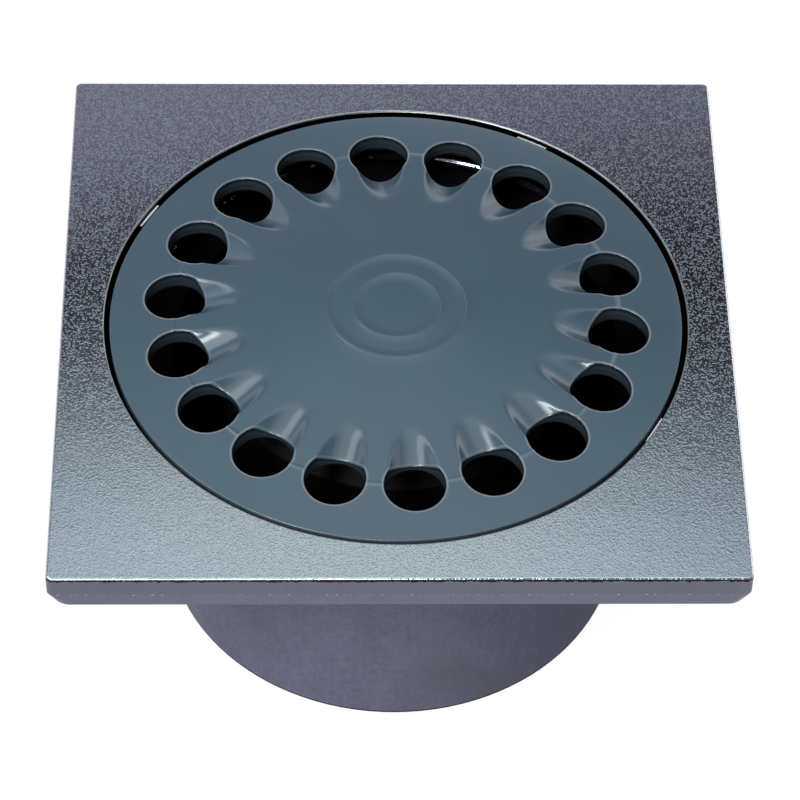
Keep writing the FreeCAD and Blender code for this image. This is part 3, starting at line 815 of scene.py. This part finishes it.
def slate_plastic():
    """Semi-gloss slate moulding, paler along its edges by painted highlight and some wear, and dark down
    the walls of its holes by painted shade.
    """
    material, look = new_finish("grid_plastic")
    place = look.object_place()[0]
    cloud = look.noise(place, SLATE_WAVES)
    base = look.colour(cloud, SLATE_DARK, SLATE_PALE)
    # Painted shade down the holes' walls
    base = look.colour(look.mark("hole_shade"), base, HOLE_PAINTED_SHADE)
    # Pale lines: painted highlights on rims, beads, lower walls and the outer edge, with some wear on the
    # rims
    worn_and_lit = look.times(look.mark("edge_wear_and_highlight"), look.scale(look.noise(place, PALE_LINE_WAVES), *PALE_LINE_PATCHES))
    base = look.colour(worn_and_lit, base, WORN_AND_LIT_SLATE)
    roughness = look.scale(look.noise(place, GLOSS_WAVES), *SLATE_ROUGHNESS)
    normal = look.bump(look.noise(place, RIPPLE_WAVES), RIPPLE_DEPTH * MM)
    look.surface(Base_Color=base, Roughness=roughness, Specular_IOR_Level=0.8, Normal=normal)
    return material


def black_plastic_and_shade():
    """Dull black moulding of the bell, darkened further by painted shade, with a faint mould grain."""
    material, look = new_finish("bell_plastic")
    place = look.object_place()[0]
    base = look.colour(look.noise(place, BELL_WAVES), BELL_DARK, BELL_PALE)
    normal = look.bump(look.noise(place, BELL_GRAIN_WAVES), BELL_GRAIN_DEPTH * MM)
    roughness = look.scale(look.noise(place, BELL_GLOSS_WAVES), *BELL_ROUGHNESS)
    look.surface(Base_Color=base, Roughness=roughness, Specular_IOR_Level=0.15, Normal=normal)
    return material


def dress(node, finish):
    """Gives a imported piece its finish."""
    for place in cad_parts[node].material_slots:
        place.material = finish


def direction(azimuth, elevation):
    """Unit vector at an azimuth from +Y towards +X and an elevation, both in degrees."""
    turn = math.radians(azimuth)
    lift = math.radians(elevation)
    return np.array([math.sin(turn) * math.cos(lift), math.cos(turn) * math.cos(lift), math.sin(lift)])


def soft_box(name, azimuth, elevation, distance, width, height, radiance, colour):
    """A rectangular lamp in that direction, which faces the grid and shines with the given radiance."""
    lamp = bpy.data.lights.new(name, "AREA")
    lamp.shape = "RECTANGLE"
    lamp.size = width
    lamp.size_y = height
    lamp.energy = radiance * math.pi * width * height
    lamp.color = colour
    holder = bpy.data.objects.new(name, lamp)
    away = direction(azimuth, elevation)
    side = np.cross([0.0, 0.0, 1.0], away)
    side = side / np.linalg.norm(side)
    lift = np.cross(away, side)
    spot = away * distance + np.array([0, 0, PLATE_TOP * MM])
    matrix = np.eye(4)
    matrix[:3, 0] = side
    matrix[:3, 1] = lift
    matrix[:3, 2] = away
    matrix[:3, 3] = spot
    holder.matrix_world = matrix.T
    bpy.context.collection.objects.link(holder)


def studio_world():
    """A soft room: a pale panel overhead, a lavender wall low down, a dark gap between and a dark front.

    The wall's upper edge and the panel's lower edge each slope a little from side to side.
    """
    world = bpy.data.worlds.new("studio")
    world.use_nodes = True
    look = Finish(world.node_tree)
    way = look.node("ShaderNodeTexCoord").outputs["Generated"]
    split = look.node("ShaderNodeSeparateXYZ", {0: way})
    x, y, z = split.outputs
    lift = look.math("DEGREES", look.math("ARCSINE", z))
    wall = look.fall(look.math("ADD", lift, look.times(x, WALL_EDGE_TILT)), *WALL_EDGE)
    wall_light = look.colour(look.rise(x, *WALL_CHANGE), WALL_LEFT, WALL_RIGHT)
    panel = look.rise(look.math("SUBTRACT", lift, look.times(x, PANEL_EDGE_TILT)), *PANEL_EDGE)
    aside = look.math("ABSOLUTE", look.math("SUBTRACT", x, PANEL_CENTRE))
    panel_light = look.colour(look.rise(aside, *PANEL_CHANGE), PANEL_MIDDLE, PANEL_SIDES)
    overhead = look.rise(lift, *CEILING_EDGE)
    front = look.times(look.fall(y, *FRONT_CHANGE), look.fall(lift, *FRONT_EDGE))
    light = look.colour(wall, GAP_DARK, wall_light)
    light = look.colour(panel, light, panel_light)
    light = look.colour(overhead, light, CEILING)
    light = look.colour(look.rise(lift, *ZENITH_EDGE), light, ZENITH)
    light = look.colour(front, light, FRONT_DARK)
    shader = look.node("ShaderNodeBackground", {"Color": light, "Strength": 1.0})
    look.node("ShaderNodeOutputWorld", {"Surface": shader.outputs[0]})
    bpy.context.scene.world = world


def pale_floor():
    """A wide white floor that shows white to the camera and in reflections and keeps the drain's shadow."""
    half = 4.0
    mesh = bpy.data.meshes.new("floor")
    corners = [(-half, -half, 0), (half, -half, 0), (half, half, 0), (-half, half, 0)]
    mesh.from_pydata(corners, [], [(0, 1, 2, 3)])
    material, look = new_finish("floor")
    path = look.node("ShaderNodeLightPath").outputs
    seen = look.math("MAXIMUM", path["Is Camera Ray"], path["Is Glossy Ray"])
    seen = look.math("MAXIMUM", seen, path["Is Transmission Ray"])
    glow = look.node("ShaderNodeEmission", {"Strength": look.math("MULTIPLY", seen, FLOOR_GLOW)})
    paint = look.node("ShaderNodeBsdfDiffuse", {"Color": FLOOR_GREY})
    both = look.node("ShaderNodeAddShader", {0: glow.outputs[0], 1: paint.outputs[0]})
    look.node("ShaderNodeOutputMaterial", {"Surface": both.outputs[0]})
    mesh.materials.append(material)
    floor = bpy.data.objects.new("floor", mesh)
    bpy.context.collection.objects.link(floor)


def photo_camera():
    """Camera at the photograph's viewing angle, from the fit's elevation, azimuth, roll and distance."""
    level = math.cos(CAMERA_ELEVATION)
    back_x = math.sin(CAMERA_AZIMUTH) * level
    back_y = -math.cos(CAMERA_AZIMUTH) * level
    back = np.array([back_x, back_y, math.sin(CAMERA_ELEVATION)])
    right = np.cross(-back, [0.0, 0.0, 1.0])
    right = right / np.linalg.norm(right)
    up = np.cross(right, -back)
    matrix = np.eye(4)
    matrix[:3, 0] = right * math.cos(CAMERA_ROLL) + up * math.sin(CAMERA_ROLL)
    matrix[:3, 1] = up * math.cos(CAMERA_ROLL) - right * math.sin(CAMERA_ROLL)
    matrix[:3, 2] = back
    matrix[:3, 3] = (np.array(CAMERA_TARGET) + back * CAMERA_DISTANCE) * MM
    lens = bpy.data.cameras.new("photo_camera")
    lens.sensor_width = CAMERA_SENSOR
    lens.lens = CAMERA_LENS
    lens.clip_start = 0.01
    lens.clip_end = 20.0
    camera = bpy.data.objects.new("photo_camera", lens)
    camera.matrix_world = matrix.T
    bpy.context.collection.objects.link(camera)
    bpy.context.scene.camera = camera


dress("drain_body", chromed_casting())
dress("trap_bell", black_plastic_and_shade())
grid_moulding(slate_plastic())

studio_world()

# Azimuth and elevation in degrees, distance, width and height in metres, then radiance and tint
soft_box("key_light", -140, 43, 1.6, 0.42, 0.72, 12.5, LAMP_TINT)
soft_box("front_light", -172, 24, 1.6, 0.48, 0.36, 15.5, LAMP_TINT)
soft_box("overhead_light", -95, 58, 1.8, 1.5, 0.8, 2.0, OVERHEAD_TINT)
soft_box("side_fill", 60, 28, 1.6, 1.4, 1.2, 0.6, LAMP_TINT)
soft_box("back_fill", 30, 16, 1.8, 2.4, 0.95, 0.85, LAMP_TINT)
soft_box("left_fill", -55, 16, 1.8, 2.4, 0.95, 0.5, LAMP_TINT)
pale_floor()
photo_camera()
bpy.context.scene.view_settings.view_transform = "Standard"
